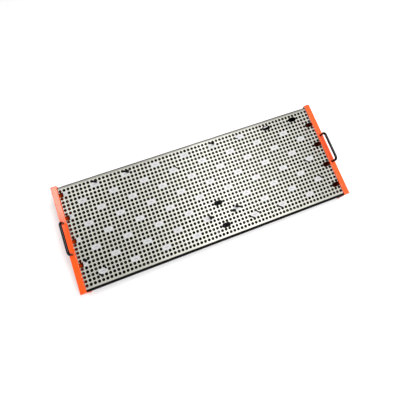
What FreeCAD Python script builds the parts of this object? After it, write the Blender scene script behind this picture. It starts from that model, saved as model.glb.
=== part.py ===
import FreeCAD, Part
import math
import os

from FreeCAD import Placement, Rotation, Vector

# Pedalboard.  Millimetres, +X along the length, +Y to the rear (hinge side), +Z up.
# The origin is on the floor, under the middle of the board.

# ---- Driving dimensions -------------------------------------------------------------------
# End panels
overall_length = 900.0
panel_depth = 334.0
panel_thickness = 18.0
panel_front_height = 50.0
panel_rear_height = 90.0
panel_corner_radius = 3.0
panel_edge_radius = 1.2

# Feet
foot_height = 6.0
foot_top_radius = 11.0
foot_bottom_radius = 9.5
foot_inset_x = 40.0
foot_inset_y = 34.0

# Tray
tray_sheet = 1.2
tray_flange_height = 14.0
tray_rear_lip = 9.0
rear_wall_sheet = 1.2
wall_rivet_count = 6
wall_rivet_end_distance = 30.0
front_setback = 2.5
rear_setback = 5.9
trim_thickness = 4.3
trim_wrap = 9.0
trim_gap = 0.6

# Deck
deck_sheet = 2.0
deck_lip = 3.5
deck_side_gap = 0.9
deck_front_flange = 12.0
deck_rear_flange = 13.0
front_bend_radius = 2.5
rear_bend_radius = 5.0
hole_diameter = 6.35
hole_pitch = 12.35
hole_side_margin = 4.5
hole_front_margin = 11.7
hole_rear_margin = 15.0

# Oblong cable ports, each in the place of two holes
port_length = 26.0
port_width = 13.0
port_column_step = 8
port_row_step = 3
first_port_row = 2
open_ports = ((23, 56), (23, 64), (8, 36), (2, 36))

# Port covers
cover_overlap = 1.3
cover_thickness = 1.0
cover_skirt_depth = 5.0
cover_skirt_wall = 1.2
cover_clearance = 0.2
cover_wall_gap = 9.5

# Ribs and posts under the deck
rib_flange_width = 5.6
rib_sheet = 1.5
rib_depth = 12.0
rib_rows = (6, 12, 18)
rib_end_gap = 3.0
post_offset_x = 216.0
post_width = 30.0
post_sheet = 2.0
post_depth = 18.0
post_foot = 12.0
post_pad_thickness = 3.0
post_pad_width = 24.0
post_pad_depth = 14.0

# Piano hinge
hinge_axis_drop = 15.0
hinge_axis_setback = 2.0
hinge_leaf_sheet = 1.0
hinge_leaf_width = 12.0
hinge_knuckle_radius = 2.0
hinge_pin_radius = 1.0
hinge_pin_clearance = 0.05
hinge_end_gap = 12.0
hinge_knuckle_count = 27
hinge_knuckle_gap = 0.4
rivet_count = 9
rivet_radius = 1.6
rivet_tail_radius = 2.7
rivet_tail_height = 1.0
rivet_head_radius = 2.9
rivet_head_height = 0.8

# Lid stays: the arm is as long as its pivot is far from the hinge, so it turns twice as far as
# the deck and its pin stays on the centre line of the slot
stay_reach = 140.0
stay_max_angle = 60.0
stay_sheet = 2.0
stay_gap = 0.5
stay_arm_width = 12.0
stay_pin_radius = 2.5
stay_pin_clearance = 0.3
pivot_clearance = 0.08
rivet_clearance = 0.05
stay_rail_depth = 21.5
stay_rail_flange = 4.1
stay_rail_end = 12.0
stay_head_radius = 4.5
stay_head_height = 1.6
bracket_width = 26.0
bracket_foot = 22.0
bracket_bolt_radius = 2.0
bracket_bolt_head_radius = 3.8
bracket_bolt_head_height = 2.4
bracket_bolt_tail_radius = 3.4
bracket_bolt_tail_height = 1.2

# Handles
handle_post_spacing = 98.0
handle_rod_radius = 4.0
handle_bar_height = 27.0
handle_bend_radius = 11.0
handle_thread_radius = 2.5
handle_thread_depth = 14.0
handle_bolt_grip = 22.0
thread_clearance = 0.05
bolt_hole_clearance = 0.3
counterbore_radius = 6.5
washer_radius = 6.0
washer_thickness = 1.2
socket_head_radius = 4.25
socket_head_height = 5.0
socket_radius = 2.3
socket_depth = 2.5

# Front rest, foam and catches
rest_depth = 12.0
rest_foam_thickness = 3.0
rest_foam_gap = 0.3
catch_offset_x = 250.0
catch_length = 40.0
catch_width = 13.0
catch_gap = 2.0
strike_sheet = 1.2
seat_gap = 0.3

# Rear cable openings
grommet_offset_x = 300.0
grommet_hole_radius = 16.0
grommet_bore_radius = 12.5
grommet_lip = 3.0
grommet_lip_thickness = 2.0

# Small fasteners
wood_screw_radius = 2.0
wood_screw_head_radius = 3.8
wood_screw_head_height = 2.0
wood_screw_length = 15.0
panel_screw_count = 4
panel_screw_end_distance = 25.0
foot_bolt_radius = 2.0
foot_head_height = 2.2
foot_nut_radius = 4.0
foot_nut_height = 3.2

# Cut cable ties left in the deck: (row, column) of the hole that each one stands in, (row, column)
# that its end lies over, and the width of its band; the wide ones keep their ratchet head
cable_ties = (
    ((24, 8), (23.5, 9.3), 3.4),
    ((24, 16), (23.35, 17.6), 3.6),
    ((24, 40), (23.4, 41.2), 3.4),
    ((23, 47), (22.6, 47.9), 2.0),
    ((21, 29), (20.1, 29.7), 2.0),
    ((6, 33), (4.6, 33.5), 3.6),
    ((5, 39), (4.7, 40.1), 3.4),
    ((5, 42), (5.7, 40.4), 3.2),
    ((2, 43), (1.1, 44.2), 2.4),
    ((3, 45), (2.2, 45.6), 2.4),
    ((2, 51), (1.1, 52.2), 2.4),
    ((6, 65), (4.9, 65.6), 2.4),
    ((11, 63), (10.4, 63.7), 2.0),
    ((6, 1), (5.5, 1.6), 3.2),
    ((1, 4), (1.6, 3.4), 2.4),
    ((3, 5), (2.3, 5.4), 2.4),
)
tie_thickness = 1.1
tie_tail = 6.0
tie_head_min_width = 3.0

# ---- Derived places -----------------------------------------------------------------------
half_length = overall_length / 2
inner_x = half_length - panel_thickness
half_depth = panel_depth / 2
slope = math.atan2(panel_rear_height - panel_front_height, panel_depth)

# Deck frame: u runs up the slope from the deck's front edge, w is square to the deck's top face
deck_front_y = -half_depth + front_setback + trim_thickness
deck_rear_y = half_depth - rear_setback
deck_depth = (deck_rear_y - deck_front_y) / math.cos(slope)
deck_width = 2 * (inner_x - deck_side_gap)
panel_top_at_deck_front = foot_height + panel_front_height + (deck_front_y + half_depth) * math.tan(slope)
deck_front_z = panel_top_at_deck_front - deck_lip / math.cos(slope)
DECK = Placement(Vector(0, deck_front_y, deck_front_z), Rotation(Vector(1, 0, 0), math.degrees(slope)))

column_count = 2 * int(((deck_width - 2 * hole_side_margin) / hole_pitch + 1) / 2)
row_count = int((deck_depth - hole_front_margin - hole_rear_margin) / hole_pitch) + 1

tray_floor_z = foot_height + tray_sheet
tray_rear_y = deck_rear_y + deck_rear_flange * math.sin(slope)
tray_front_y = deck_front_y - trim_gap - trim_thickness / 2 - tray_sheet / 2

hinge_u = deck_depth + hinge_axis_setback
hinge_w = -hinge_axis_drop

# Ports alternate between two sets of columns, laid out alike from both ends of the board
first_port_column = (column_count - 2) % (port_column_step // 2) // 2
break_column = first_port_column + 3

# The stays stand in the web before the break column, counted from each end, which no port crosses
stay_x = (column_count / 2 - break_column) * hole_pitch
arm_x = stay_x + stay_sheet / 2 + stay_gap
bracket_x = arm_x + stay_sheet + stay_gap

rivet_hole_radius = rivet_radius + rivet_clearance


# ---- Helpers ------------------------------------------------------------------------------
def column_x(column):
    """X of a hole column, counted from the left end."""
    return (column - (column_count - 1) / 2) * hole_pitch


def row_u(row):
    """Distance up the deck of a hole row, counted from the front."""
    return hole_front_margin + row * hole_pitch


def box(x0, x1, y0, y1, z0, z1):
    return Part.makeBox(x1 - x0, y1 - y0, z1 - z0, Vector(x0, y0, z0))


def cylinder(start, direction, radius, length):
    return Part.makeCylinder(radius, length, start, direction)


def on_deck(shape):
    """Moves a shape made with y = u and z = w into its place on the sloping deck."""
    placed = shape.copy()
    placed.Placement = DECK.multiply(placed.Placement)
    return placed


def deck_point(x, u, w):
    return DECK.multVec(Vector(x, u, w))


def mirrored(shape):
    """The same piece at the other end of the board."""
    return shape.mirror(Vector(0, 0, 0), Vector(1, 0, 0))


def extruded_yz(points, x0, x1):
    """A closed outline of (y, z) points, extruded along X."""
    outline = Part.makePolygon([Vector(x0, y, z) for y, z in points + [points[0]]])
    return Part.Face(outline).extrude(Vector(x1 - x0, 0, 0))


def obround_edges(x, u, length, width, w):
    """The four edges of a slot with round ends, lying along X."""
    r = width / 2
    s = length / 2 - r
    right = Part.Arc(Vector(x + s, u - r, w), Vector(x + s + r, u, w), Vector(x + s, u + r, w))
    left = Part.Arc(Vector(x - s, u + r, w), Vector(x - s - r, u, w), Vector(x - s, u - r, w))
    bottom = Part.LineSegment(Vector(x - s, u - r, w), Vector(x + s, u - r, w))
    top = Part.LineSegment(Vector(x + s, u + r, w), Vector(x - s, u + r, w))
    return [bottom.toShape(), right.toShape(), top.toShape(), left.toShape()]


def obround_prism(x, u, length, width, w0, w1):
    face = Part.Face(Part.Wire(obround_edges(x, u, length, width, w0)))
    return face.extrude(Vector(0, 0, w1 - w0))


def save(name, *shapes):
    """Writes one node; several shapes are kept as separate solids."""
    solids = [solid for shape in shapes for solid in shape.Solids]
    node = solids[0] if len(solids) == 1 else Part.makeCompound(solids)
    node.exportStep("parts/" + name + ".step")
    print(name, len(solids), "solids", round(node.Volume), "mm3")


# ---- End panels and handles ---------------------------------------------------------------
def handle_post_points():
    """Where the handle's two posts stand on the panel's top face, in the deck frame."""
    middle = deck_depth / 2 + (rear_setback - front_setback - trim_thickness) / 2
    return [middle - handle_post_spacing / 2, middle + handle_post_spacing / 2]


def panel_screw_places():
    """Y of each screw that holds the tray's end flange to a panel."""
    first = tray_front_y + panel_screw_end_distance
    step = (tray_rear_y - panel_screw_end_distance - first) / (panel_screw_count - 1)
    return [first + i * step for i in range(panel_screw_count)]


panel_screw_z = tray_floor_z + tray_flange_height * 0.55
handle_x = half_length - panel_thickness / 2


def side_panel():
    """The right-hand panel: a wedge of plywood, counterbored from below for the handle bolts."""
    profile = [
        (-half_depth, foot_height),
        (half_depth, foot_height),
        (half_depth, foot_height + panel_rear_height),
        (-half_depth, foot_height + panel_front_height),
    ]
    panel = extruded_yz(profile, inner_x, half_length)
    corners = [e for e in panel.Edges if abs(e.BoundBox.XLength - panel_thickness) < 0.01]
    panel = panel.makeFillet(panel_corner_radius, corners)
    faces = [f for f in panel.Faces if f.BoundBox.XLength < 0.01]
    rims = [e for f in faces for e in f.Edges]
    panel = panel.makeFillet(panel_edge_radius, rims)
    axis = deck_point(0, 0, 1) - deck_point(0, 0, 0)
    for u in handle_post_points():
        top = deck_point(handle_x, u, deck_lip)
        clearance_hole = cylinder(top - axis * 120, axis, handle_thread_radius + bolt_hole_clearance, 121)
        counterbore_top = top - axis * handle_bolt_grip
        counterbore = cylinder(counterbore_top - axis * 120, axis, counterbore_radius, 120)
        panel = panel.cut(clearance_hole).cut(counterbore)
    for y in panel_screw_places():
        start = Vector(inner_x, y, panel_screw_z)
        pilot = cylinder(start, Vector(1, 0, 0), wood_screw_radius + thread_clearance, wood_screw_length)
        panel = panel.cut(pilot)
    return panel


def handle():
    """Bow handle: one round rod with two bends, and a threaded bore in each foot."""
    u0, u1 = handle_post_points()
    foot = deck_lip
    bend = handle_bend_radius
    top = deck_lip + handle_bar_height
    corner = bend * (1 - math.sqrt(0.5))
    path = Part.Wire([
        Part.LineSegment(Vector(0, u0, foot), Vector(0, u0, top - bend)).toShape(),
        Part.Arc(Vector(0, u0, top - bend), Vector(0, u0 + corner, top - corner), Vector(0, u0 + bend, top)).toShape(),
        Part.LineSegment(Vector(0, u0 + bend, top), Vector(0, u1 - bend, top)).toShape(),
        Part.Arc(Vector(0, u1 - bend, top), Vector(0, u1 - corner, top - corner), Vector(0, u1, top - bend)).toShape(),
        Part.LineSegment(Vector(0, u1, top - bend), Vector(0, u1, foot)).toShape(),
    ])
    section = Part.Wire([Part.makeCircle(handle_rod_radius, Vector(0, u0, foot), Vector(0, 0, 1))])
    rod = path.makePipeShell([section], True, False)
    for u in (u0, u1):
        thread = cylinder(Vector(0, u, foot - 1), Vector(0, 0, 1), handle_thread_radius + thread_clearance,
                          handle_thread_depth + 1)
        rod = rod.cut(thread)
    rod.translate(Vector(handle_x, 0, 0))
    return on_deck(rod)


def handle_bolts():
    """Socket-head bolts that come up through the panel into the handle's posts."""
    bolts = []
    for u in handle_post_points():
        seat = deck_lip - handle_bolt_grip - washer_thickness
        shank_length = handle_bolt_grip + washer_thickness + handle_thread_depth - 2
        shank = cylinder(Vector(handle_x, u, seat), Vector(0, 0, 1), handle_thread_radius, shank_length)
        head = cylinder(Vector(handle_x, u, seat - socket_head_height), Vector(0, 0, 1), socket_head_radius,
                        socket_head_height)
        socket = hexagon(handle_x, u, seat - socket_head_height, socket_radius, socket_depth)
        bolts.append(on_deck(head.fuse(shank).removeSplitter().cut(socket)))
    return bolts


def handle_washers():
    washers = []
    for u in handle_post_points():
        bottom = Vector(handle_x, u, deck_lip - handle_bolt_grip - washer_thickness)
        disc = cylinder(bottom, Vector(0, 0, 1), washer_radius, washer_thickness)
        hole = cylinder(bottom, Vector(0, 0, 1), handle_thread_radius + bolt_hole_clearance, washer_thickness)
        washers.append(on_deck(disc.cut(hole)))
    return washers


def cross_recess(centre, direction, radius):
    """A cross-shaped cut for a screw's head, sunk from centre along direction."""
    bars = []
    for turn in (45, 135):
        bar = box(-radius * 0.55, radius * 0.55, -0.45, 0.45, -0.5, 1.2)
        bar.rotate(Vector(0, 0, 0), Vector(0, 0, 1), turn)
        bar.Placement = Placement(centre, Rotation(Vector(0, 0, 1), direction)).multiply(bar.Placement)
        bars.append(bar)
    return bars[0].fuse(bars[1])


def hexagon(x, y, z, radius, height):
    """A hexagonal prism standing on (x, y, z)."""
    corners = [Vector(x + radius * math.cos(math.radians(60 * i)), y + radius * math.sin(math.radians(60 * i)), z)
               for i in range(7)]
    return Part.Face(Part.makePolygon(corners)).extrude(Vector(0, 0, height))


# ---- Tray, feet and front rest ------------------------------------------------------------
def wall_top_z(y, w):
    """Height of the plane that lies w above the deck's top face, at a given y."""
    return deck_front_z + (y - deck_front_y) * math.tan(slope) + w / math.cos(slope)


front_wall_top = wall_top_z(tray_front_y, -1.5)
hinge_axis = deck_point(0, hinge_u, hinge_w)
rear_wall_top = hinge_axis.z - 0.6
wall_rivet_z = tray_floor_z + tray_rear_lip * 0.55
base_rivet_z = hinge_axis.z - hinge_leaf_width * 0.62
deck_rivet_w = -(deck_rear_flange + rear_bend_radius) / 2 - 0.2
grommet_z = (tray_floor_z + rear_wall_top - hinge_leaf_width) / 2


def foot_places():
    xs = (-inner_x + foot_inset_x, 0, inner_x - foot_inset_x)
    ys = (-half_depth + foot_inset_y, half_depth - foot_inset_y)
    return [(x, y) for x in xs for y in ys]


def wall_rivet_places():
    """X of each rivet that holds the rear wall to the tray's rear lip."""
    end = inner_x - wall_rivet_end_distance
    step = 2 * end / (wall_rivet_count - 1)
    return [-end + i * step for i in range(wall_rivet_count)]


def wall_rivet_holes():
    back = Vector(0, 1, 0)
    return [cylinder(Vector(x, tray_rear_y - 5, wall_rivet_z), back, rivet_hole_radius, 10)
            for x in wall_rivet_places()]


def tray():
    """One folded sheet: floor, front wall, two low end flanges and a low rear lip."""
    t = tray_sheet
    back = tray_rear_y - rear_wall_sheet
    floor = box(-inner_x, inner_x, tray_front_y, back, foot_height, foot_height + t)
    front = box(-inner_x, inner_x, tray_front_y, tray_front_y + t, foot_height, front_wall_top)
    rear = box(-inner_x, inner_x, back - t, back, foot_height, tray_floor_z + tray_rear_lip)
    flange_top = tray_floor_z + tray_flange_height
    left = box(-inner_x, -inner_x + t, tray_front_y, back, foot_height, flange_top)
    right = box(inner_x - t, inner_x, tray_front_y, back, foot_height, flange_top)
    sheet = floor.multiFuse([front, rear, left, right]).removeSplitter()
    cuts = wall_rivet_holes()
    for x, y in foot_places():
        cuts.append(cylinder(Vector(x, y, 0), Vector(0, 0, 1), foot_bolt_radius + bolt_hole_clearance, 20))
    for y in panel_screw_places():
        hole = wood_screw_radius + bolt_hole_clearance
        cuts.append(cylinder(Vector(inner_x - 5, y, panel_screw_z), Vector(1, 0, 0), hole, 5))
        cuts.append(cylinder(Vector(-inner_x, y, panel_screw_z), Vector(1, 0, 0), hole, 5))
    for x, y in bracket_bolt_places():
        cuts.append(cylinder(Vector(x, y, 0), Vector(0, 0, 1), bracket_bolt_radius + bolt_hole_clearance, 20))
    return sheet.cut(Part.makeCompound(cuts))


def rear_wall():
    """Flat plate behind the tray's rear lip, with the two cable openings; it carries the hinge."""
    plate = box(-inner_x, inner_x, tray_rear_y - rear_wall_sheet, tray_rear_y, foot_height, rear_wall_top)
    cuts = wall_rivet_holes()
    for x in (-grommet_offset_x, grommet_offset_x):
        cuts.append(cylinder(Vector(x, tray_rear_y - 5, grommet_z), Vector(0, 1, 0), grommet_hole_radius, 10))
    for x in rivet_places():
        cuts.append(cylinder(Vector(x, tray_rear_y - 5, base_rivet_z), Vector(0, 1, 0), rivet_hole_radius, 10))
    return plate.cut(Part.makeCompound(cuts))


def rivet(x, z, inner_y, grip):
    """A rivet set along Y: its tail bears on inner_y and its head on the face a grip further back."""
    back = Vector(0, 1, 0)
    inner = Vector(x, inner_y, z)
    shank = cylinder(inner, back, rivet_radius, grip)
    tail = cylinder(inner - back * rivet_tail_height, back, rivet_tail_radius, rivet_tail_height)
    head = cylinder(inner + back * grip, back, rivet_head_radius, rivet_head_height)
    return shank.fuse([tail, head]).removeSplitter()


def wall_rivets():
    grip = tray_sheet + rear_wall_sheet
    return [rivet(x, wall_rivet_z, tray_rear_y - grip, grip) for x in wall_rivet_places()]


def front_edge_trim():
    """U-shaped rubber trim pushed over the front wall's top edge."""
    middle = tray_front_y + tray_sheet / 2
    y0 = middle - trim_thickness / 2
    y1 = middle + trim_thickness / 2
    top = wall_top_z(middle, -0.5)
    length = inner_x - seat_gap
    body = box(-length, length, y0, y1, front_wall_top - trim_wrap, top)
    crown = [e for e in body.Edges if e.BoundBox.XLength > length and e.BoundBox.ZMin > top - 0.01]
    body = body.makeFillet(1.2, crown)
    slot = box(-inner_x, inner_x, tray_front_y, tray_front_y + tray_sheet, 0, front_wall_top)
    return body.cut(slot)


def rest_top_z():
    """The rest's foam lies flat under the front flange's lower edge."""
    flange_foot = deck_point(0, 0, -deck_front_flange)
    return flange_foot.z - rest_foam_gap


def front_rest():
    """Angle along the front wall that carries the deck's front flange."""
    t = tray_sheet
    y0 = tray_front_y + t
    shelf_top = rest_top_z() - rest_foam_thickness
    shelf = box(-inner_x + 6, inner_x - 6, y0, y0 + rest_depth, shelf_top - t, shelf_top)
    leg = box(-inner_x + 6, inner_x - 6, y0, y0 + t, tray_floor_z + 3, shelf_top)
    return shelf.fuse(leg).removeSplitter()


def rest_foam():
    y0 = tray_front_y + 2 * tray_sheet + 0.8
    top = rest_top_z()
    return box(-inner_x + 8, inner_x - 8, y0, tray_front_y + tray_sheet + rest_depth - 1, top - rest_foam_thickness,
               top)


def rubber_feet():
    feet = []
    for x, y in foot_places():
        foot = Part.makeCone(foot_bottom_radius, foot_top_radius, foot_height, Vector(x, y, 0))
        bore = cylinder(Vector(x, y, 0), Vector(0, 0, 1), foot_bolt_radius + bolt_hole_clearance, foot_height)
        recess = cylinder(Vector(x, y, 0), Vector(0, 0, 1), foot_bolt_radius * 2.1, foot_height / 2)
        feet.append(foot.cut(bore).cut(recess))
    return feet


def foot_screws():
    screws = []
    for x, y in foot_places():
        seat = Vector(x, y, foot_height / 2)
        up = Vector(0, 0, 1)
        head = cylinder(seat - up * foot_head_height, up, foot_bolt_radius * 1.9, foot_head_height)
        shank = cylinder(seat, up, foot_bolt_radius, foot_height / 2 + tray_sheet + foot_nut_height + 1)
        recess = cross_recess(seat - up * foot_head_height, up, foot_bolt_radius * 1.9)
        screws.append(head.fuse(shank).removeSplitter().cut(recess))
    return screws


def foot_nuts():
    nuts = []
    for x, y in foot_places():
        nut = hexagon(x, y, tray_floor_z, foot_nut_radius, foot_nut_height)
        bore = cylinder(Vector(x, y, 0), Vector(0, 0, 1), foot_bolt_radius + thread_clearance, 20)
        nuts.append(nut.cut(bore))
    return nuts


def panel_screws():
    """Round-head wood screws through the tray's end flanges into the right-hand panel."""
    screws = []
    for y in panel_screw_places():
        seat = Vector(inner_x - tray_sheet, y, panel_screw_z)
        shank = cylinder(seat, Vector(1, 0, 0), wood_screw_radius, wood_screw_length + tray_sheet - 1)
        head_face = seat - Vector(wood_screw_head_height, 0, 0)
        head = cylinder(head_face, Vector(1, 0, 0), wood_screw_head_radius, wood_screw_head_height)
        recess = cross_recess(head_face, Vector(1, 0, 0), wood_screw_head_radius)
        screws.append(head.fuse(shank).removeSplitter().cut(recess))
    return screws


def cable_grommets():
    """Rubber grommets that line the two cable openings in the rear wall."""
    grommets = []
    for x in (-grommet_offset_x, grommet_offset_x):
        centre = Vector(x, tray_rear_y - rear_wall_sheet, grommet_z)
        back = Vector(0, 1, 0)
        inner_lip = cylinder(centre - back * grommet_lip_thickness, back, grommet_hole_radius + grommet_lip,
                             grommet_lip_thickness)
        neck = cylinder(centre, back, grommet_hole_radius - rivet_clearance, rear_wall_sheet)
        outer_lip = cylinder(centre + back * rear_wall_sheet, back, grommet_hole_radius + grommet_lip,
                             grommet_lip_thickness)
        bore = cylinder(centre - back * 5, back, grommet_bore_radius, 12)
        grommets.append(inner_lip.fuse([neck, outer_lip]).removeSplitter().cut(bore))
    return grommets


# ---- Deck ---------------------------------------------------------------------------------
def port_places():
    """Every oblong port as (row, column of its left hole); some run out over a side edge."""
    ports = []
    rows = range(first_port_row, row_count - 1, port_row_step)
    for index, row in enumerate(rows):
        first = first_port_column + (port_column_step // 2 if index % 2 == 0 else 0)
        ports += [(row, column) for column in range(first, column_count - 1, port_column_step)]
    return ports


def port_holes():
    """The places in the grid of holes that the ports take up."""
    return {(row, column + i) for row, column in port_places() for i in (0, 1)}


def port_centre(port):
    row, column = port
    return (column_x(column) + column_x(column + 1)) / 2, row_u(row)


def port_side(port):
    """-1 or 1 for a port that runs out over the left or right edge, otherwise 0."""
    x, _ = port_centre(port)
    if abs(x) + port_length / 2 > deck_width / 2 - 1:
        return -1 if x < 0 else 1
    return 0


def side_edges(side, u0, u1):
    """Edges of one side of the deck sheet from u0 to u1, going in and out of the ports that are open there."""
    edge = side * deck_width / 2
    r = port_width / 2
    here = Vector(edge, u0, 0)
    edges = []
    centres = [port_centre(port) for port in port_places() if port_side(port) == side]
    for x, u in sorted(centre for centre in centres if u0 < centre[1] < u1):
        run = max(side * (edge - x) - (port_length / 2 - r), 0)
        half = math.sqrt(r * r - min(run, r * 0.9) ** 2)
        outer = x + side * (port_length / 2 - r)
        inner = x - side * (port_length / 2 - r)
        middle = math.acos(half / r) / 2
        turn = side * math.sin(middle) * r
        lift = math.cos(middle) * r
        enter = Vector(edge, u - half, 0)
        leave = Vector(edge, u + half, 0)
        end = [Vector(inner, u - r, 0), Vector(inner - side * r, u, 0), Vector(inner, u + r, 0)]
        edges += [
            Part.LineSegment(here, enter).toShape(),
            Part.Arc(enter, Vector(outer + turn, u - lift, 0), Vector(outer, u - r, 0)).toShape(),
            Part.LineSegment(Vector(outer, u - r, 0), end[0]).toShape(),
            Part.Arc(*end).toShape(),
            Part.LineSegment(end[2], Vector(outer, u + r, 0)).toShape(),
            Part.Arc(Vector(outer, u + r, 0), Vector(outer + turn, u + lift, 0), leave).toShape(),
        ]
        here = leave
    edges.append(Part.LineSegment(here, Vector(edge, u1, 0)).toShape())
    return edges


def deck_bend(radius, flange):
    """Bent edge strip, seen from its end: a quarter bend from the flat sheet, then a flange."""
    t = deck_sheet
    inner = radius - t
    mid_outer = radius * math.sqrt(0.5)
    mid_inner = inner * math.sqrt(0.5)
    x = -deck_width / 2
    outline = [
        Part.Arc(Vector(x, 0, 0), Vector(x, mid_outer, mid_outer - radius), Vector(x, radius, -radius)).toShape(),
        Part.LineSegment(Vector(x, radius, -radius), Vector(x, radius, -flange)).toShape(),
        Part.LineSegment(Vector(x, radius, -flange), Vector(x, inner, -flange)).toShape(),
        Part.LineSegment(Vector(x, inner, -flange), Vector(x, inner, -radius)).toShape(),
        Part.Arc(Vector(x, inner, -radius), Vector(x, mid_inner, mid_inner - radius), Vector(x, 0, -t)).toShape(),
        Part.LineSegment(Vector(x, 0, -t), Vector(x, 0, 0)).toShape(),
    ]
    return Part.Face(Part.Wire(outline)).extrude(Vector(deck_width, 0, 0))


def sheet_tile(columns, rows, x0, x1, u0, u1):
    """One rectangle of the perforated sheet, with the holes and ports that lie in it."""
    taken = port_holes()
    left = side_edges(-1, u0, u1) if columns[0] == 0 else [Part.makeLine(Vector(x0, u0, 0), Vector(x0, u1, 0))]
    right = side_edges(1, u0, u1) if columns[-1] == column_count - 1 else [
        Part.makeLine(Vector(x1, u0, 0), Vector(x1, u1, 0))]
    front = Part.makeLine(Vector(x0, u0, 0), Vector(x1, u0, 0))
    rear = Part.makeLine(Vector(x0, u1, 0), Vector(x1, u1, 0))
    wires = [Part.Wire(Part.__sortEdges__(left + right + [front, rear]))]
    for row in rows:
        for column in columns:
            if (row, column) not in taken:
                centre = Vector(column_x(column), row_u(row), 0)
                wires.append(Part.Wire([Part.makeCircle(hole_diameter / 2, centre)]))
    for port in port_places():
        if port_side(port) == 0 and port[0] in rows and port[1] in columns:
            wires.append(Part.Wire(obround_edges(*port_centre(port), port_length, port_width, 0)))
    return Part.Face(wires).extrude(Vector(0, 0, -deck_sheet))


def tile_spans(count, first_break, step):
    """Splits a range of hole rows or columns at breaks that no port crosses."""
    breaks = [0] + list(range(first_break, count, step)) + [count]
    return [range(a, b) for a, b in zip(breaks, breaks[1:]) if b > a]


def deck():
    """The perforated sheet, made in tiles, with its bent front and rear edges."""
    rear_u = deck_depth - rear_bend_radius
    row_spans = tile_spans(row_count, first_port_row + 2, 2 * port_row_step)
    column_spans = tile_spans(column_count, break_column, 2 * port_column_step)
    tiles = []
    for rows in row_spans:
        u0 = front_bend_radius if rows[0] == 0 else (row_u(rows[0]) + row_u(rows[0] - 1)) / 2
        u1 = rear_u if rows[-1] == row_count - 1 else (row_u(rows[-1]) + row_u(rows[-1] + 1)) / 2
        for columns in column_spans:
            x0 = -deck_width / 2 if columns[0] == 0 else (column_x(columns[0]) + column_x(columns[0] - 1)) / 2
            x1 = deck_width / 2 if columns[-1] == column_count - 1 else (
                column_x(columns[-1]) + column_x(columns[-1] + 1)) / 2
            tiles.append(sheet_tile(columns, rows, x0, x1, u0, u1))
    rear_strip = deck_bend(rear_bend_radius, deck_rear_flange)
    for rx in rivet_places():
        rear_strip = rear_strip.cut(cylinder(Vector(rx, 0, deck_rivet_w), Vector(0, 1, 0), rivet_hole_radius, 10))
    rear_strip.translate(Vector(0, rear_u, 0))
    front_strip = deck_bend(front_bend_radius, deck_front_flange)
    front_strip.rotate(Vector(0, 0, 0), Vector(0, 0, 1), 180)
    front_strip.translate(Vector(0, front_bend_radius, 0))
    return on_deck(tiles[0].multiFuse(tiles[1:] + [front_strip, rear_strip]))


def port_cover(port):
    """Snap-in cover: a thin flange on the deck and a skirt down into the port."""
    x, u = port_centre(port)
    lip_length = port_length + 2 * cover_overlap
    lip_width = port_width + 2 * cover_overlap
    skirt_length = port_length - 2 * cover_clearance
    skirt_width = port_width - 2 * cover_clearance
    lip = obround_prism(x, u, lip_length, lip_width, 0, cover_thickness)
    skirt = obround_prism(x, u, skirt_length, skirt_width, -cover_skirt_depth, 0)
    hollow = obround_prism(x, u, skirt_length - 2 * cover_skirt_wall, skirt_width - 2 * cover_skirt_wall,
                           -cover_skirt_depth, -cover_thickness)
    cover = lip.fuse(skirt).cut(hollow)
    side = port_side(port)
    if side:
        limit = side * (inner_x - cover_wall_gap)
        beyond = box(min(limit, side * (inner_x + 20)), max(limit, side * (inner_x + 20)), u - 20, u + 20, -20, 20)
        cover = cover.cut(beyond)
    return on_deck(cover.removeSplitter())


def port_covers():
    """Every port has a cover but the open ones and those that run out over the right edge."""
    covered = [p for p in port_places() if port_side(p) < 1 and p not in open_ports]
    return [port_cover(p) for p in covered]


def nearest_hole(row, column):
    """The round hole nearest to a place given in rows and columns, leaving out those beside a panel."""
    taken = port_holes()
    columns = range(1, column_count - 2)
    holes = [(r, c) for r in range(row_count) for c in columns if (r, c) not in taken]
    return min(holes, key=lambda hole: math.hypot(hole[0] - row, hole[1] - column))


def cable_tie(tie):
    """A cut cable tie: its tail stands in a hole and its band lies across the cover beside it."""
    (row_a, column_a), (row_b, column_b), width = tie
    along = Vector(column_x(column_b) - column_x(column_a), row_u(row_b) - row_u(row_a), 0)
    row, column = nearest_hole(row_a, column_a)
    t = tie_thickness
    base = cover_thickness
    tail = box(-t / 2, t / 2, -width / 2, width / 2, -tie_tail, base + t)
    band = box(-t / 2, along.Length, -width / 2, width / 2, base, base + t)
    piece = tail.fuse(band)
    if width >= tie_head_min_width:
        head = box(along.Length - 1.5 * width, along.Length, -0.75 * width, 0.75 * width, base, base + 0.9 * width)
        piece = piece.fuse(head)
    piece = piece.removeSplitter()
    piece.rotate(Vector(0, 0, 0), Vector(0, 0, 1), math.degrees(math.atan2(along.y, along.x)))
    piece.translate(Vector(column_x(column), row_u(row), 0))
    return on_deck(piece)


def deck_ribs():
    """Three T ribs under the deck, each in the web between two rows of holes."""
    ribs = []
    length = stay_x - stay_sheet / 2 - stay_rail_flange - rib_end_gap
    under = -deck_sheet
    for row in rib_rows:
        u = (row_u(row) + row_u(row + 1)) / 2
        half = rib_flange_width / 2
        flange = box(-length, length, u - half, u + half, under - rib_sheet, under)
        web = box(-length, length, u - rib_sheet / 2, u + rib_sheet / 2, under - rib_depth, under)
        ribs.append(on_deck(flange.fuse(web).removeSplitter()))
    return ribs


def post_places():
    u = (row_u(rib_rows[1]) + row_u(rib_rows[1] + 1)) / 2
    foot = deck_point(0, u, -deck_sheet - rib_depth)
    return [(x, foot.y, foot.z) for x in (-post_offset_x, 0, post_offset_x)]


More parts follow.
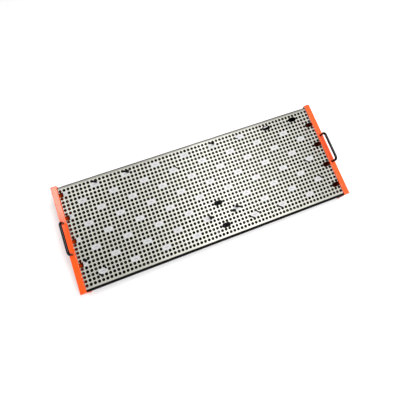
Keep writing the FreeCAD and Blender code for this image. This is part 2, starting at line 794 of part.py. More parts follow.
def deck_posts():
    """Bridge-shaped posts on the tray's floor, under the middle rib."""
    posts = []
    t = post_sheet
    half = post_width / 2
    deep = post_depth / 2
    for x, y, z in post_places():
        top = z - seat_gap - post_pad_thickness
        outer = box(x - half, x + half, y - deep, y + deep, tray_floor_z, top)
        inside = box(x - half + t, x + half - t, y - deep, y + deep, tray_floor_z, top - t)
        left_foot = box(x - half - post_foot, x - half, y - deep, y + deep, tray_floor_z, tray_floor_z + t)
        right_foot = box(x + half, x + half + post_foot, y - deep, y + deep, tray_floor_z, tray_floor_z + t)
        posts.append(outer.cut(inside).multiFuse([left_foot, right_foot]).removeSplitter())
    return posts


def post_pads():
    across, deep = post_pad_width / 2, post_pad_depth / 2
    return [box(x - across, x + across, y - deep, y + deep, z - seat_gap - post_pad_thickness, z - seat_gap)
            for x, y, z in post_places()]


# ---- Hinge --------------------------------------------------------------------------------
def knuckle_spans():
    length = 2 * (inner_x - hinge_end_gap)
    step = length / hinge_knuckle_count
    start = -length / 2
    return [(start + i * step + hinge_knuckle_gap / 2, start + (i + 1) * step - hinge_knuckle_gap / 2)
            for i in range(hinge_knuckle_count)]


def rivet_places():
    length = 2 * (inner_x - hinge_end_gap - 20)
    return [-length / 2 + i * length / (rivet_count - 1) for i in range(rivet_count)]


def knuckles(first):
    """Every second knuckle, as short tubes along X about the origin."""
    tubes = []
    for x0, x1 in knuckle_spans()[first::2]:
        tube = cylinder(Vector(x0, 0, 0), Vector(1, 0, 0), hinge_knuckle_radius, x1 - x0)
        tubes.append(tube)
    return tubes


def pin_bore():
    return cylinder(Vector(-inner_x, 0, 0), Vector(1, 0, 0), hinge_pin_radius + hinge_pin_clearance, 2 * inner_x)


def knuckle_relief(first):
    """Room in a leaf for the other leaf's knuckles."""
    reliefs = []
    for x0, x1 in knuckle_spans()[1 - first::2]:
        reliefs.append(cylinder(Vector(x0 - hinge_knuckle_gap, 0, 0), Vector(1, 0, 0),
                                hinge_knuckle_radius + 0.4, x1 - x0 + 2 * hinge_knuckle_gap))
    return reliefs


def hinge_deck_leaf():
    """The leaf on the rear face of the deck's flange, in the deck frame about the hinge axis."""
    x = inner_x - hinge_end_gap
    back = -hinge_axis_setback
    plate = box(-x, x, back, back + hinge_leaf_sheet, 0, hinge_axis_drop - rear_bend_radius - 0.5)
    leaf = plate.multiFuse(knuckles(0)).cut(Part.makeCompound(knuckle_relief(0) + [pin_bore()]))
    leaf.translate(Vector(0, hinge_u, hinge_w))
    for rx in rivet_places():
        hole = cylinder(Vector(rx, deck_depth - 5, deck_rivet_w), Vector(0, 1, 0), rivet_hole_radius, 10)
        leaf = leaf.cut(hole)
    return on_deck(leaf)


def deck_rivets():
    grip = deck_sheet + hinge_leaf_sheet
    return [on_deck(rivet(x, deck_rivet_w, deck_depth - deck_sheet, grip)) for x in rivet_places()]


def hinge_base_leaf():
    """The leaf on the rear face of the rear wall."""
    x = inner_x - hinge_end_gap
    back = tray_rear_y - hinge_axis.y
    plate = box(-x, x, back, back + hinge_leaf_sheet, -hinge_leaf_width, 0)
    leaf = plate.multiFuse(knuckles(1)).cut(Part.makeCompound(knuckle_relief(1) + [pin_bore()]))
    leaf.translate(hinge_axis)
    for rx in rivet_places():
        leaf = leaf.cut(cylinder(Vector(rx, tray_rear_y - 5, base_rivet_z), Vector(0, 1, 0), rivet_hole_radius, 10))
    return leaf


def base_rivets():
    grip = rear_wall_sheet + hinge_leaf_sheet
    return [rivet(x, base_rivet_z, tray_rear_y - rear_wall_sheet, grip) for x in rivet_places()]


def hinge_pin():
    x = inner_x - hinge_end_gap + 1.5
    return cylinder(Vector(-x, hinge_axis.y, hinge_axis.z), Vector(1, 0, 0), hinge_pin_radius, 2 * x)


# ---- Stays --------------------------------------------------------------------------------
arm_pivot_u = hinge_u - stay_reach
slot_near_u = hinge_u - 2 * stay_reach * math.cos(math.radians(stay_max_angle))
slot_far_u = hinge_u - 2 * stay_reach


def stay_rail():
    """Angle under the deck with the long slot that the arm's pin runs in."""
    r = stay_pin_radius + stay_pin_clearance
    u0 = slot_far_u - stay_rail_end
    u1 = slot_near_u + stay_rail_end
    x0 = stay_x - stay_sheet / 2
    x1 = stay_x + stay_sheet / 2
    under = -deck_sheet
    web = box(x0, x1, u0, u1, under - stay_rail_depth + deck_sheet, under)
    flange = box(x0 - stay_rail_flange + stay_sheet, x1, u0, u1, under - stay_sheet, under)
    slot = box(x0 - 1, x1 + 1, slot_far_u, slot_near_u, hinge_w - r, hinge_w + r)
    ends = [cylinder(Vector(x0 - 1, u, hinge_w), Vector(1, 0, 0), r, stay_sheet + 2)
            for u in (slot_far_u, slot_near_u)]
    return on_deck(web.fuse(flange).removeSplitter().cut(slot.multiFuse(ends)))


def stay_arm():
    """Flat bar with round ends, lying along the slot when the deck is shut."""
    half = stay_arm_width / 2
    x1 = arm_x + stay_sheet
    bar = box(arm_x, x1, slot_far_u, arm_pivot_u, hinge_w - half, hinge_w + half)
    ends = [cylinder(Vector(arm_x, u, hinge_w), Vector(1, 0, 0), half, stay_sheet)
            for u in (slot_far_u, arm_pivot_u)]
    arm = bar.multiFuse(ends).removeSplitter()
    pivot_hole = cylinder(Vector(arm_x, arm_pivot_u, hinge_w), Vector(1, 0, 0), stay_pin_radius + pivot_clearance,
                          stay_sheet)
    pin_hole = cylinder(Vector(arm_x, slot_far_u, hinge_w), Vector(1, 0, 0), stay_pin_radius + rivet_clearance,
                        stay_sheet)
    return on_deck(arm.cut(pivot_hole).cut(pin_hole))


def stay_slide_pin():
    """Riveted in the arm's tip; it passes through the slot and ends in a head."""
    x_out = arm_x + stay_sheet
    inner_face = stay_x - stay_sheet / 2 - 0.3
    along = Vector(1, 0, 0)
    shank = cylinder(Vector(inner_face, slot_far_u, hinge_w), along, stay_pin_radius, x_out - inner_face)
    head = cylinder(Vector(inner_face - stay_head_height, slot_far_u, hinge_w), along, stay_head_radius,
                    stay_head_height)
    return on_deck(shank.fuse(head).removeSplitter())


def bracket_bolt_places():
    foot = deck_point(0, arm_pivot_u, hinge_w)
    x = bracket_x + stay_sheet + bracket_foot * 0.55
    return [(side * x, foot.y + dy) for side in (-1, 1) for dy in (-bracket_width / 4, bracket_width / 4)]


def stay_bracket():
    """Upright angle on the tray's floor that carries the arm's pivot."""
    pivot = deck_point(0, arm_pivot_u, hinge_w)
    x0 = bracket_x
    x1 = bracket_x + stay_sheet
    half = bracket_width / 2
    upright = box(x0, x1, pivot.y - half, pivot.y + half, tray_floor_z, pivot.z)
    crown = box(x0, x1, pivot.y - 7, pivot.y + 7, pivot.z, pivot.z + 7)
    crown_edges = [e for e in crown.Edges
                   if abs(e.BoundBox.XLength - stay_sheet) < 0.01 and e.BoundBox.ZMin > pivot.z + 1]
    crown = crown.makeFillet(5, crown_edges)
    foot = box(x1, x1 + bracket_foot, pivot.y - half, pivot.y + half, tray_floor_z, tray_floor_z + stay_sheet)
    bracket = upright.multiFuse([crown, foot]).removeSplitter()
    bore = cylinder(Vector(x0 - 1, pivot.y, pivot.z), Vector(1, 0, 0), stay_pin_radius + rivet_clearance,
                    stay_sheet + 2)
    bracket = bracket.cut(bore)
    for x, y in bracket_bolt_places():
        hole = cylinder(Vector(x, y, tray_floor_z - 1), Vector(0, 0, 1), bracket_bolt_radius + bolt_hole_clearance, 10)
        bracket = bracket.cut(hole)
    return bracket


def stay_pivot():
    """Shouldered rivet, fast in the bracket, that the arm turns on."""
    pivot = deck_point(0, arm_pivot_u, hinge_w)
    along = Vector(1, 0, 0)
    x0 = arm_x - 0.1
    x1 = bracket_x + stay_sheet
    shank = cylinder(Vector(x0, pivot.y, pivot.z), along, stay_pin_radius, x1 - x0)
    head_gap = arm_x - 0.1 - (stay_x + stay_sheet / 2)
    inner_head = cylinder(Vector(x0 - head_gap * 0.5, pivot.y, pivot.z), along, stay_head_radius, head_gap * 0.5)
    outer_head = cylinder(Vector(x1, pivot.y, pivot.z), along, stay_head_radius, stay_head_height)
    return shank.fuse([inner_head, outer_head]).removeSplitter()


def bracket_bolts():
    bolts = []
    for x, y in bracket_bolt_places():
        seat = Vector(x, y, tray_floor_z + stay_sheet)
        shank = cylinder(seat - Vector(0, 0, stay_sheet + tray_sheet), Vector(0, 0, 1), bracket_bolt_radius,
                         stay_sheet + tray_sheet)
        head = cylinder(seat, Vector(0, 0, 1), bracket_bolt_head_radius, bracket_bolt_head_height)
        tail = cylinder(seat - Vector(0, 0, stay_sheet + tray_sheet + bracket_bolt_tail_height), Vector(0, 0, 1),
                        bracket_bolt_tail_radius, bracket_bolt_tail_height)
        recess = cross_recess(seat + Vector(0, 0, bracket_bolt_head_height), Vector(0, 0, -1),
                              bracket_bolt_head_radius)
        bolts.append(head.fuse([shank, tail]).removeSplitter().cut(recess))
    return bolts


# ---- Catches ------------------------------------------------------------------------------
def strike_face_w():
    return -deck_sheet - strike_sheet


def catch_magnets():
    """Magnet blocks that stand on the tray's floor behind the front rest."""
    blocks = []
    for x in (-catch_offset_x, catch_offset_x):
        y0 = tray_front_y + tray_sheet + rest_depth + catch_gap
        front = deck_point(0, 0, 0).y
        u0 = (y0 - front) / math.cos(slope) + 1
        top = deck_point(0, u0, strike_face_w() - seat_gap).z
        block = box(x - catch_length / 2, x + catch_length / 2, y0, y0 + catch_width, tray_floor_z, top + 5)
        above = box(-inner_x, inner_x, -50, deck_depth, strike_face_w() - seat_gap, 60)
        blocks.append(block.cut(on_deck(above)))
    return blocks


def catch_strikes():
    """Steel strike plates under the deck, above the magnets, in the web in front of hole row 1."""
    strikes = []
    u = (row_u(0) + row_u(1)) / 2
    for x in (-catch_offset_x, catch_offset_x):
        plate = box(x - catch_length / 2, x + catch_length / 2, u - 2.9, u + 2.9, -deck_sheet - strike_sheet,
                    -deck_sheet)
        strikes.append(on_deck(plate))
    return strikes


# ---- Build --------------------------------------------------------------------------------
os.makedirs("parts", exist_ok=True)

right_panel = side_panel()
save("side_panel_right", right_panel)
save("side_panel_left", mirrored(right_panel))
right_handle = handle()
save("handle_right", right_handle)
save("handle_left", mirrored(right_handle))
save("handle_bolts", *handle_bolts(), *[mirrored(b) for b in handle_bolts()])
save("handle_washers", *handle_washers(), *[mirrored(w) for w in handle_washers()])

save("tray", tray())
save("rear_wall", rear_wall())
save("rear_wall_rivets", *wall_rivets())
save("front_edge_trim", front_edge_trim())
save("front_rest", front_rest())
save("rest_foam", rest_foam())
save("rubber_feet", *rubber_feet())
save("foot_screws", *foot_screws())
save("foot_nuts", *foot_nuts())
save("panel_screws", *panel_screws(), *[mirrored(s) for s in panel_screws()])
save("cable_grommets", *cable_grommets())
save("deck_posts", *deck_posts())
save("post_pads", *post_pads())
save("catch_magnets", *catch_magnets())

save("deck", deck())
save("deck_ribs", *deck_ribs())
save("port_covers", *port_covers())
save("cable_ties", *[cable_tie(tie) for tie in cable_ties])
save("catch_strikes", *catch_strikes())

save("hinge_base_leaf", hinge_base_leaf())
save("hinge_deck_leaf", hinge_deck_leaf())
save("hinge_pin", hinge_pin())
save("hinge_base_rivets", *base_rivets())
save("hinge_deck_rivets", *deck_rivets())

for name, piece in (("stay_rail", stay_rail()), ("stay_arm", stay_arm()), ("stay_slide_pin", stay_slide_pin()),
                    ("stay_bracket", stay_bracket()), ("stay_pivot", stay_pivot())):
    save(name + "_right", piece)
    save(name + "_left", mirrored(piece))
save("bracket_bolts", *bracket_bolts())

print("slope", math.degrees(slope), "columns", column_count, "rows", row_count, "ports", len(port_places()))
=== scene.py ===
"""Pedalboard: finishes, covers, cable ties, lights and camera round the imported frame. Metres."""
import math

import bpy
import numpy as np
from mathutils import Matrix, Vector


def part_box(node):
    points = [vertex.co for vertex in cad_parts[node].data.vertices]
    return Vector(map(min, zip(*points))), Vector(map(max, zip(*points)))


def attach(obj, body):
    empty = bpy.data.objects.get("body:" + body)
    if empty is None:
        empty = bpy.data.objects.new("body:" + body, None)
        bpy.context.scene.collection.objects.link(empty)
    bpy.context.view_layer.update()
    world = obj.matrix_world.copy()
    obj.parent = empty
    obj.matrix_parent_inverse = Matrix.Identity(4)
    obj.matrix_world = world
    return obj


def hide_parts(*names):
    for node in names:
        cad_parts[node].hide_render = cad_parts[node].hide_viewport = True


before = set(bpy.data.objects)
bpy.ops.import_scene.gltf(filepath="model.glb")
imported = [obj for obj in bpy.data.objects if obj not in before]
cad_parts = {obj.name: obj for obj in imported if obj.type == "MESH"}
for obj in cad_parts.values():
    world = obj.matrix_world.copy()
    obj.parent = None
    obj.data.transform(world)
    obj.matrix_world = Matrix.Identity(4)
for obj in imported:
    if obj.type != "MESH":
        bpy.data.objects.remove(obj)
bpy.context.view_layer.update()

# ---- Sizes: boxes from the frame, and the part's own sizes ----------------------------------
PANEL_LOW, PANEL_HIGH = (Vector(corner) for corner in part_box("side_panel_right"))
DECK_LOW = Vector(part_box("deck")[0])
FOOT_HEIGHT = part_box("rubber_feet")[1][2]
PANEL_FRONT_HEIGHT = 0.050
PANEL_REAR_HEIGHT = 0.090
SLOPE = math.atan2(PANEL_REAR_HEIGHT - PANEL_FRONT_HEIGHT, PANEL_HIGH.y - PANEL_LOW.y)
DECK_LIP = 0.0035
HOLE_PITCH = 0.01235
HOLE_RADIUS = 0.003175
HOLE_FRONT_MARGIN = 0.0117
COLUMN_COUNT = 70
ROW_COUNT = 25
PORT_LENGTH = 0.026
PORT_WIDTH = 0.013
PORT_COLUMN_STEP = 8
PORT_ROW_STEP = 3
PORT_FIRST_ROW = 2
PORT_FIRST_COLUMN = 4
DECK_FRONT_Y = DECK_LOW.y
DECK_FRONT_Z = (FOOT_HEIGHT + PANEL_FRONT_HEIGHT + (DECK_FRONT_Y - PANEL_LOW.y) * math.tan(SLOPE)
                - DECK_LIP / math.cos(SLOPE))
UP_SLOPE = np.array([0.0, math.cos(SLOPE), math.sin(SLOPE)])
DECK_NORMAL = np.array([0.0, -math.sin(SLOPE), math.cos(SLOPE)])
DECK_ORIGIN = np.array([0.0, DECK_FRONT_Y, DECK_FRONT_Z])


def on_deck(x, u, w):
    """Points at x along the board, u up the slope from the deck's front edge and w above its face:
    the front edge's middle, plus x, u and w times the three directions."""
    x, u, w = np.broadcast_arrays(x, u, w)
    return DECK_ORIGIN + np.stack([x, np.zeros_like(x), np.zeros_like(x)], -1) \
        + u[..., None] * UP_SLOPE + w[..., None] * DECK_NORMAL


def column_x(column):
    """Where a column of holes is along the board; columns count from the left."""
    return (column - (COLUMN_COUNT - 1) / 2) * HOLE_PITCH


def row_u(row):
    """Where a row of holes is up the slope; rows count from the front."""
    return HOLE_FRONT_MARGIN + row * HOLE_PITCH


# ---- Shader maths -------------------------------------------------------------------------
class Signal:
    """An output socket. Arithmetic on it adds Math nodes to its tree."""

    def __init__(self, tree, socket):
        self.tree = tree
        self.socket = socket

    def maths(self, operation, *values):
        inputs = dict(enumerate(values))
        return self.tree.add("ShaderNodeMath", {"operation": operation}, inputs)["Value"]

    def __add__(self, other):
        return self.maths("ADD", self, other)

    def __radd__(self, other):
        return self.maths("ADD", other, self)

    def __sub__(self, other):
        return self.maths("SUBTRACT", self, other)

    def __rsub__(self, other):
        return self.maths("SUBTRACT", other, self)

    def __mul__(self, other):
        return self.maths("MULTIPLY", self, other)

    def __rmul__(self, other):
        return self.maths("MULTIPLY", other, self)

    def __truediv__(self, other):
        return self.maths("DIVIDE", self, other)

    def power(self, other):
        return self.maths("POWER", self, other)

    def fraction(self):
        return self.maths("FRACT", self)

    def nearest(self):
        """How far it is past the nearest whole number, from -0.5 to 0.5."""
        return (self + 0.5).fraction() - 0.5

    def at_least(self, other):
        return self.maths("MAXIMUM", self, other)

    def size(self):
        return self.maths("ABSOLUTE", self)

    def root(self):
        return self.maths("SQRT", self)

    def step(self, low, high):
        """0 below low, 1 above high and smooth between; low may be the larger."""
        settings = {"interpolation_type": "SMOOTHSTEP"}
        inputs = {"Value": self, "From Min": low, "From Max": high}
        return self.tree.add("ShaderNodeMapRange", settings, inputs)["Result"]


class Finish:
    """A material's node tree with one Principled shader."""

    def __init__(self, name, **constants):
        self.material = bpy.data.materials.new(name)
        self.material.use_nodes = True
        self.nodes = self.material.node_tree.nodes
        self.links = self.material.node_tree.links
        self.shader = self.nodes["Principled BSDF"]
        for key, value in constants.items():
            self.shader.inputs[key.replace("_", " ")].default_value = value
        self.place = self.add("ShaderNodeTexCoord", {}, {})["Object"]

    def add(self, kind, settings, inputs):
        """Adds a node, sets its settings, then feeds its sockets; returns its outputs by name."""
        node = self.nodes.new(kind)
        for key, value in settings.items():
            setattr(node, key, value)
        for key, value in inputs.items():
            if isinstance(value, Signal):
                self.links.new(value.socket, node.inputs[key])
            else:
                node.inputs[key].default_value = value
        return {out.name: Signal(self, out) for out in node.outputs if out.enabled}

    def feed(self, socket, signal):
        self.links.new(signal.socket, self.shader.inputs[socket])

    def axes(self):
        parts = self.add("ShaderNodeSeparateXYZ", {}, {"Vector": self.place})
        return parts["X"], parts["Y"], parts["Z"]

    def noise(self, scale, detail=2.0, roughness=0.5, stretch=(1, 1, 1)):
        where = self.place
        if stretch != (1, 1, 1):
            where = self.add("ShaderNodeMapping", {}, {"Vector": where, "Scale": stretch})["Vector"]
        inputs = {"Vector": where, "Scale": scale, "Detail": detail, "Roughness": roughness}
        return self.add("ShaderNodeTexNoise", {}, inputs)["Fac"]

    def cells(self, scale):
        inputs = {"Vector": self.place, "Scale": scale}
        return self.add("ShaderNodeTexVoronoi", {}, inputs)["Distance"]

    def blend(self, factor, first, second):
        """A colour that goes from first to second. Sockets 6 and 7 are the node's two colours."""
        inputs = {0: factor, 6: first, 7: second}
        return self.add("ShaderNodeMix", {"data_type": "RGBA"}, inputs)["Result"]

    def bump(self, height, distance, strength=1.0):
        inputs = {"Height": height, "Distance": distance, "Strength": strength}
        self.feed("Normal", self.add("ShaderNodeBump", {}, inputs)["Normal"])


def rgb(red, green, blue):
    """A colour for a socket, from display values of 0 to 255."""
    parts = np.array([red, green, blue]) / 255
    linear = np.where(parts <= 0.04045, parts / 12.92, ((parts + 0.055) / 1.055) ** 2.4)
    return (*linear.tolist(), 1.0)


# ---- Finishes -----------------------------------------------------------------------------
RUB_START, RUB_FULL = 0.0016, 0.0003          # from a panel's edge, where lacquer is rubbed
PANEL_SHADE_WIDTH, PANEL_SHADE_FADE = 0.0009, 0.0003        # painted shade on the right panel's inner face, below the deck
PANEL_SHADE_TOP, PANEL_SHADE_FULL = -0.0012, -0.0022        # from the deck's face
HOLE_SHADE_END, HOLE_SHADE_FULL = 0.0017, 0.0014  # painted shade ring, out from a hole's wall
PORT_SHADE_END, PORT_SHADE_FULL = 0.0013, 0.0010  # painted shade ring, out from a port's wall
FIELD_FADE = 0.0005                           # how fast the painted shade rings end past the first and last rows
REAR_SHADE_START, REAR_SHADE_FULL = 0.0045, 0.0080      # painted shade on the band past the last row of holes, where the sheet bends down
DECK_METAL = 0.32                             # share of bare metal in the deck's coat
SLOT_SHADE_START, SLOT_SHADE_FULL = 0.0012, 0.0002        # painted shade of a slot along a cover's middle: round its ends
SLOT_SHADE_EDGE, SLOT_SHADE_DEEP = 0.0014, 0.0009         # across that slot


def deck_axes(finish):
    """The x, u and w of on_deck as signals: the place, turned by the slope at the front edge."""
    x, y, z = finish.axes()
    dy = y - float(DECK_FRONT_Y)
    dz = z - float(DECK_FRONT_Z)
    u = dy * math.cos(SLOPE) + dz * math.sin(SLOPE)
    w = dz * math.cos(SLOPE) - dy * math.sin(SLOPE)
    return x, u, w


def orange_lacquer():
    """Satin lacquer on plywood: faint grain, orange peel, rubbed edges, and painted shade on the
    right panel's inner face below the deck.
    """
    f = Finish("orange_lacquer", Coat_Roughness=0.14, IOR=1.5, Specular_IOR_Level=0.2)
    x, _, w = deck_axes(f)
    grain = f.noise(60, 4, 0.6, (6, 0.35, 6))
    cloud = f.noise(7, 2)
    colour = f.blend(grain * 0.5 + cloud * 0.5, rgb(238, 70, 4), rgb(249, 82, 7))
    outer = (x.size() - float(PANEL_HIGH.x)).size().step(RUB_START, RUB_FULL)
    crown = (w - DECK_LIP).size().step(RUB_START, RUB_FULL)
    chips = f.noise(420, 3, 0.7).step(0.60, 0.66) * f.noise(14, 1).step(0.52, 0.62)
    rubbed = outer * crown * chips
    colour = f.blend(rubbed, colour, rgb(226, 170, 120))
    # Painted shade: the right panel's inner face below the deck goes near-black red, as it lies in
    # shade there.
    inner = (float(PANEL_LOW.x) + PANEL_SHADE_WIDTH - x).step(0.0, PANEL_SHADE_FADE)
    inner_face_shade = inner * x.step(0.0, 0.1) * w.step(PANEL_SHADE_TOP, PANEL_SHADE_FULL)
    f.feed("Base Color", f.blend(inner_face_shade * 0.8, colour, rgb(40, 8, 5)))
    f.feed("Roughness", 0.34 + 0.12 * cloud + 0.3 * rubbed)
    f.feed("Coat Weight", 0.9 - 0.8 * rubbed)
    f.bump(f.noise(900, 1) * 0.5 + grain * 0.5 - rubbed * 2.0, 0.00005)
    return f.material


def dark_chrome():
    """Black nickel under clear lacquer, with faint smudges."""
    f = Finish("dark_chrome", Metallic=1.0, Coat_Weight=0.4, Coat_Roughness=0.06)
    smudge = f.noise(80, 3, 0.6)
    f.feed("Base Color", f.blend(smudge, rgb(5, 5, 6), rgb(12, 12, 13)))
    f.feed("Roughness", 0.10 + 0.14 * smudge.power(2.0))
    f.bump(f.noise(1500, 2), 0.000004)
    return f.material


def port_offsets(x, u):
    """How far past the nearest port's spine, and how far across it. Every second row of ports is
    shifted by half a step along the board."""
    row = (u - float(row_u(PORT_FIRST_ROW))) / (PORT_ROW_STEP * HOLE_PITCH)
    shift = ((row - row.nearest()) * 0.5).nearest().size()
    first = float(column_x(PORT_FIRST_COLUMN) + HOLE_PITCH / 2)
    column = (x - first) / (PORT_COLUMN_STEP * HOLE_PITCH) - shift
    from_middle = column.nearest().size() * (PORT_COLUMN_STEP * HOLE_PITCH)
    off_spine = (from_middle - (PORT_LENGTH - PORT_WIDTH) / 2).at_least(0.0)
    return off_spine, row.nearest() * (PORT_ROW_STEP * HOLE_PITCH)


def deck_coat():
    """Warm grey powder coat: fine texture, brighter where rubbed, painted shade as dark rims round
    the holes and ports and on the hole walls, and painted shade on the band behind the last row,
    where the sheet bends down."""
    f = Finish("deck_coat", IOR=1.5, Specular_IOR_Level=0.8)
    x, u, w = deck_axes(f)
    across = ((x - float(column_x(0))) / HOLE_PITCH).nearest() * HOLE_PITCH
    along = ((u - HOLE_FRONT_MARGIN) / HOLE_PITCH).nearest() * HOLE_PITCH
    ring = (across * across + along * along).root()
    off_spine, port_across = port_offsets(x, u)
    port_edge = (off_spine * off_spine + port_across * port_across).root() - PORT_WIDTH / 2
    # Painted shade: black rings round each hole and port, and black hole walls, stand for the shade
    # in the holes and at their edges.
    hole_rim_shade = ring.step(HOLE_RADIUS + HOLE_SHADE_END, HOLE_RADIUS + HOLE_SHADE_FULL)
    rim = hole_rim_shade.at_least(port_edge.step(PORT_SHADE_END, PORT_SHADE_FULL))
    field_front, field_rear = row_u(-0.4), row_u(ROW_COUNT - 0.6)
    rim = rim * u.step(field_front - FIELD_FADE, field_front)
    rim = rim * u.step(field_rear + FIELD_FADE, field_rear)
    below_face = w.step(-0.0001, -0.0005)
    above_underside = w.step(-0.0021, -0.0018)
    wall = below_face * above_underside
    cloud = f.noise(5, 3, 0.55)
    speck = f.noise(2200, 2, 0.6)
    worn = f.noise(28, 4, 0.65).step(0.50, 0.68)
    colour = f.blend(cloud, rgb(156, 155, 145), rgb(169, 168, 159))
    colour = f.blend(worn * 0.35, colour, rgb(186, 185, 177))
    last_row = row_u(ROW_COUNT - 1)
    # Painted shade: the band behind the last row is darker where the deck's rear edge bends down
    # away from the light.
    rear_bend_shade = u.step(last_row + REAR_SHADE_START, last_row + REAR_SHADE_FULL)
    colour = f.blend(rear_bend_shade * 0.75, colour, rgb(96, 95, 88))
    colour = f.blend(rim, colour, rgb(5, 5, 5))
    colour = f.blend(wall, colour, rgb(4, 4, 4))
    f.feed("Base Color", colour)
    # The painted shade is made black and metallic, so that it reflects nothing.
    f.feed("Metallic", rim.at_least(wall).at_least(DECK_METAL))
    f.feed("Roughness", 0.38 + 0.12 * speck - 0.06 * worn + 0.4 * rim)
    f.bump(speck, 0.00006)
    return f.material


def black_coat():
    """Black powder coat, fine and slightly rough."""
    f = Finish("black_coat", IOR=1.5, Specular_IOR_Level=0.12)
    speck = f.noise(2000, 2)
    dust = f.noise(18, 4, 0.7).step(0.55, 0.75)
    f.feed("Base Color", f.blend(dust * 0.5, rgb(8, 8, 9), rgb(18, 18, 18)))
    f.feed("Roughness", 0.5 + 0.15 * speck)
    f.bump(speck, 0.00008)
    return f.material


def black_rubber():
    """Matt black rubber with a little dust."""
    f = Finish("black_rubber", IOR=1.48, Specular_IOR_Level=0.1)
    dust = f.noise(60, 3, 0.6)
    f.feed("Base Color", f.blend(dust, rgb(4, 4, 5), rgb(11, 11, 11)))
    f.feed("Roughness", 0.68 + 0.2 * dust)
    f.bump(f.noise(1200, 2), 0.00005)
    return f.material


def rest_foam():
    """Closed-cell foam: fine pits."""
    f = Finish("black_foam", IOR=1.4, Specular_IOR_Level=0.1)
    pit = f.cells(1400)
    f.feed("Base Color", f.blend(pit, rgb(6, 6, 7), rgb(22, 22, 23)))
    f.feed("Roughness", 0.85 + 0.1 * pit)
    f.bump(pit, 0.0002)
    return f.material


def zinc(name="zinc", warm=rgb(170, 168, 156), cool=rgb(160, 168, 178)):
    """Zinc plate with a faint yellow and blue bloom."""
    f = Finish(name, Metallic=1.0)
    bloom = f.noise(160, 2)
    f.feed("Base Color", f.blend(bloom, warm, cool))
    f.feed("Roughness", 0.24 + 0.2 * f.noise(700, 2))
    f.bump(f.noise(1800, 1), 0.00001)
    return f.material


def dull_zinc():
    """The fasteners inside and under the tray, gone dark grey."""
    return zinc("dull_zinc", rgb(74, 73, 69), rgb(66, 69, 73))


def black_nylon():
    """Black nylon with a soft sheen."""
    f = Finish("black_nylon", IOR=1.53, Specular_IOR_Level=0.08)
    speck = f.noise(900, 2)
    f.feed("Base Color", f.blend(speck, rgb(3, 3, 3), rgb(8, 8, 8)))
    f.feed("Roughness", 0.34 + 0.2 * speck)
    f.bump(speck, 0.00002)
    return f.material


def pale_plastic():
    """Moulded pale plastic, matt, with light scuffs and a greyer strip along its middle: painted
    shade of a slot.
    """
    f = Finish("pale_plastic", IOR=1.46, Specular_IOR_Level=0.25)
    cloud = f.noise(40, 3, 0.6)
    scuff = f.noise(260, 4, 0.7, (1, 3, 1)).step(0.56, 0.66)
    colour = f.blend(cloud, rgb(166, 166, 167), rgb(175, 175, 176))
    x, u, _ = deck_axes(f)
    off_spine, across = port_offsets(x, u)
    # Painted shade: a greyer strip along the cover's middle stands for the shade in a slot.
    slot_shade = off_spine.step(SLOT_SHADE_START, SLOT_SHADE_FULL) * across.size().step(SLOT_SHADE_EDGE, SLOT_SHADE_DEEP)
    colour = f.blend(slot_shade * 0.6, colour, rgb(92, 92, 94))
    f.feed("Base Color", f.blend(scuff * 0.35, colour, rgb(148, 148, 150)))
    f.feed("Roughness", 0.42 + 0.2 * scuff)
    f.bump(f.noise(1600, 2), 0.00002)
    return f.material


FINISHES = {
    "orange_lacquer": (orange_lacquer, ["side_panel_left", "side_panel_right"]),
    "dark_chrome": (dark_chrome, ["handle_left", "handle_right"]),
    "deck_coat": (deck_coat, ["deck"]),
    "black_coat": (black_coat, [
        "tray", "rear_wall", "front_rest", "deck_posts", "hinge_base_leaf", "hinge_deck_leaf",
        "hinge_pin", "stay_bracket_left", "stay_bracket_right", "stay_arm_left", "stay_arm_right",
        "stay_rail_left", "stay_rail_right", "deck_ribs"]),
    "black_rubber": (black_rubber, [
        "front_edge_trim", "rubber_feet", "cable_grommets", "post_pads"]),
    "black_foam": (rest_foam, ["rest_foam"]),
    "zinc": (zinc, [
        "handle_bolts", "handle_washers", "rear_wall_rivets", "hinge_base_rivets",
        "hinge_deck_rivets", "stay_pivot_left", "stay_pivot_right", "stay_slide_pin_left",
        "stay_slide_pin_right", "catch_strikes"]),
    "dull_zinc": (dull_zinc, ["foot_screws", "foot_nuts", "panel_screws", "bracket_bolts"]),
    "black_nylon": (black_nylon, ["cable_ties", "catch_magnets"]),
    "pale_plastic": (pale_plastic, ["port_covers"]),
}


def finish_nodes():
    """Gives every CAD node its finish."""
    made = {}
    for name, (make, nodes) in FINISHES.items():
        made[name] = make()
        for node in nodes:
            for material_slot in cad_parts[node].material_slots:
                material_slot.material = made[name]
    return made


# ---- Surfaces -----------------------------------------------------------------------------
def grid_faces(rings, around, first=0):
    """Quads of a tube of rings, each of that many points, closed round and open at both ends: point
    and next point of one ring, then the same two of the next ring, backwards."""
    ring, turn = np.meshgrid(np.arange(rings - 1), np.arange(around), indexing="ij")
    turned = (turn + 1) % around
    near, far = ring * around, (ring + 1) * around
    corners = [near + turn, near + turned, far + turned, far + turn]
    return np.stack(corners, -1).reshape(-1, 4) + first


